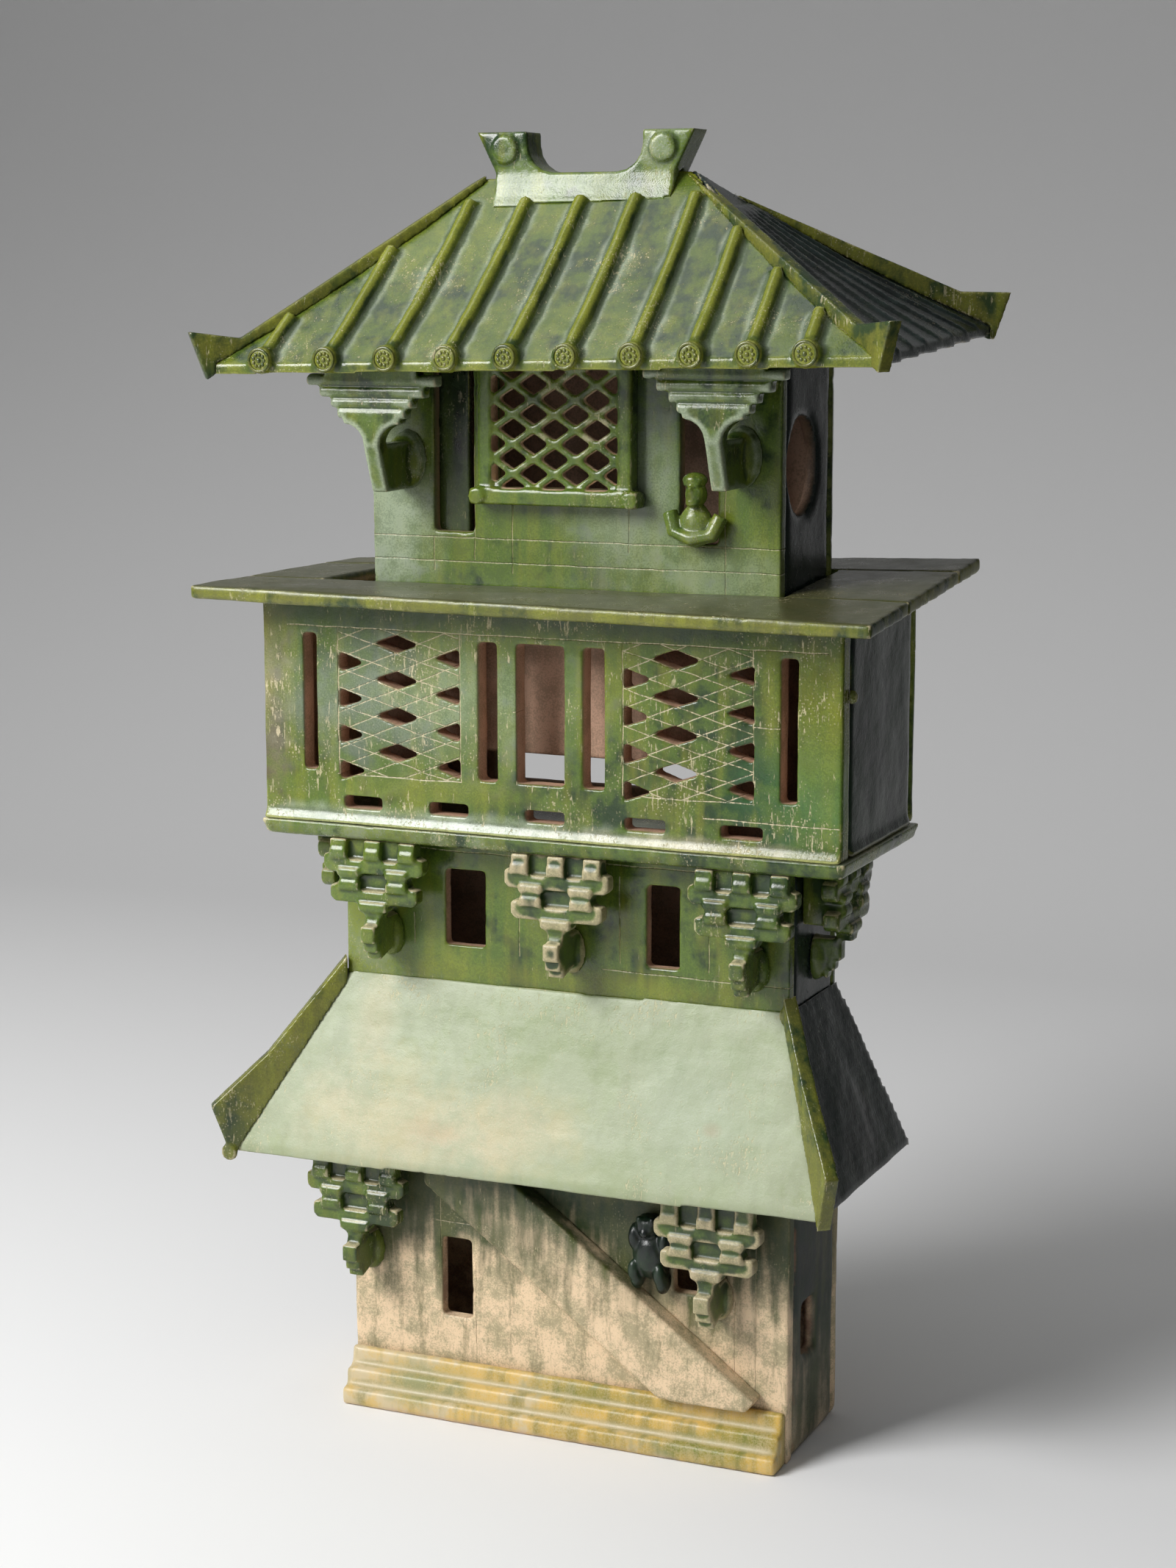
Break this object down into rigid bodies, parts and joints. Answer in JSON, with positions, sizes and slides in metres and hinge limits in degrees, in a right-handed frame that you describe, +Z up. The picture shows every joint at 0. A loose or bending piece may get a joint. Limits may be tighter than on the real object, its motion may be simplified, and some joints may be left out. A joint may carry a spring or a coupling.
{
  "type": "pottery watchtower",
  "caption": "Tall green-glazed pottery model of a watchtower, with a skirt roof, a lattice balcony and a loose tile-roofed top storey.",
  "frame": {"origin": "middle of the whole object's footprint, at the underside of the base walls", "axes": "+Z up through the tower, the front with the stair ramp and lattices faces -Y, +X to the right seen from the front"},
  "size_m": [0.5974, 0.3002, 1.043],
  "materials": {
    "green_glaze": "gloss",
    "olive_glaze": "gloss",
    "pale_glaze": "satin",
    "ochre_glaze": "satin",
    "dark_glaze": "gloss"
  },
  "bodies": {
    "lower_tower": {"base_front_wall": "pale_glaze", "base_back_wall": "pale_glaze", "base_left_wall": "pale_glaze", "base_right_wall": "pale_glaze", "base_plinth_moulding": "ochre_glaze", "stair_ramp": "pale_glaze", "base_bracket_left": "green_glaze", "base_bracket_right": "pale_glaze", "stair_bear": "dark_glaze", "skirt_roof_front": "pale_glaze", "skirt_roof_back": "pale_glaze", "skirt_roof_left": "pale_glaze", "skirt_roof_right": "dark_glaze", "skirt_hip_fin_front_left": "olive_glaze", "skirt_hip_fin_front_right": "olive_glaze", "second_front_wall": "green_glaze", "second_back_wall": "green_glaze", "second_left_wall": "green_glaze", "second_right_wall": "green_glaze", "second_bracket_left": "green_glaze", "second_bracket_middle": "green_glaze", "second_bracket_right": "green_glaze", "second_side_bracket_left": "green_glaze", "second_side_bracket_right": "green_glaze", "balcony_floor": "green_glaze", "balcony_front_wall": "green_glaze", "balcony_back_wall": "green_glaze", "balcony_left_wall": "green_glaze", "balcony_right_wall": "green_glaze", "balcony_knob_left": "olive_glaze", "balcony_knob_right": "olive_glaze", "rail_slab_front": "olive_glaze", "rail_slab_back": "olive_glaze", "rail_slab_left": "olive_glaze", "rail_slab_right": "olive_glaze"},
    "upper_tower": {"upper_front_wall": "green_glaze", "upper_back_wall": "green_glaze", "upper_left_wall": "green_glaze", "upper_right_wall": "green_glaze", "upper_door_leaf": "green_glaze", "upper_lattice_window": "green_glaze", "upper_figure": "green_glaze", "upper_bracket_left": "green_glaze", "upper_bracket_right": "green_glaze", "roof_front": "green_glaze", "roof_back": "green_glaze", "roof_left": "green_glaze", "roof_right": "green_glaze", "roof_hip_fin_front_left": "olive_glaze", "roof_hip_fin_front_right": "olive_glaze", "roof_hip_fin_back_left": "olive_glaze", "roof_hip_fin_back_right": "olive_glaze", "main_ridge": "olive_glaze"}
  },
  "joints": [
    {"name": "upper_tower_lift", "type": "slide", "parent": "lower_tower", "child": "upper_tower", "axis": [0, 0, 1], "range_m": [0, 0.3]}
  ]
}
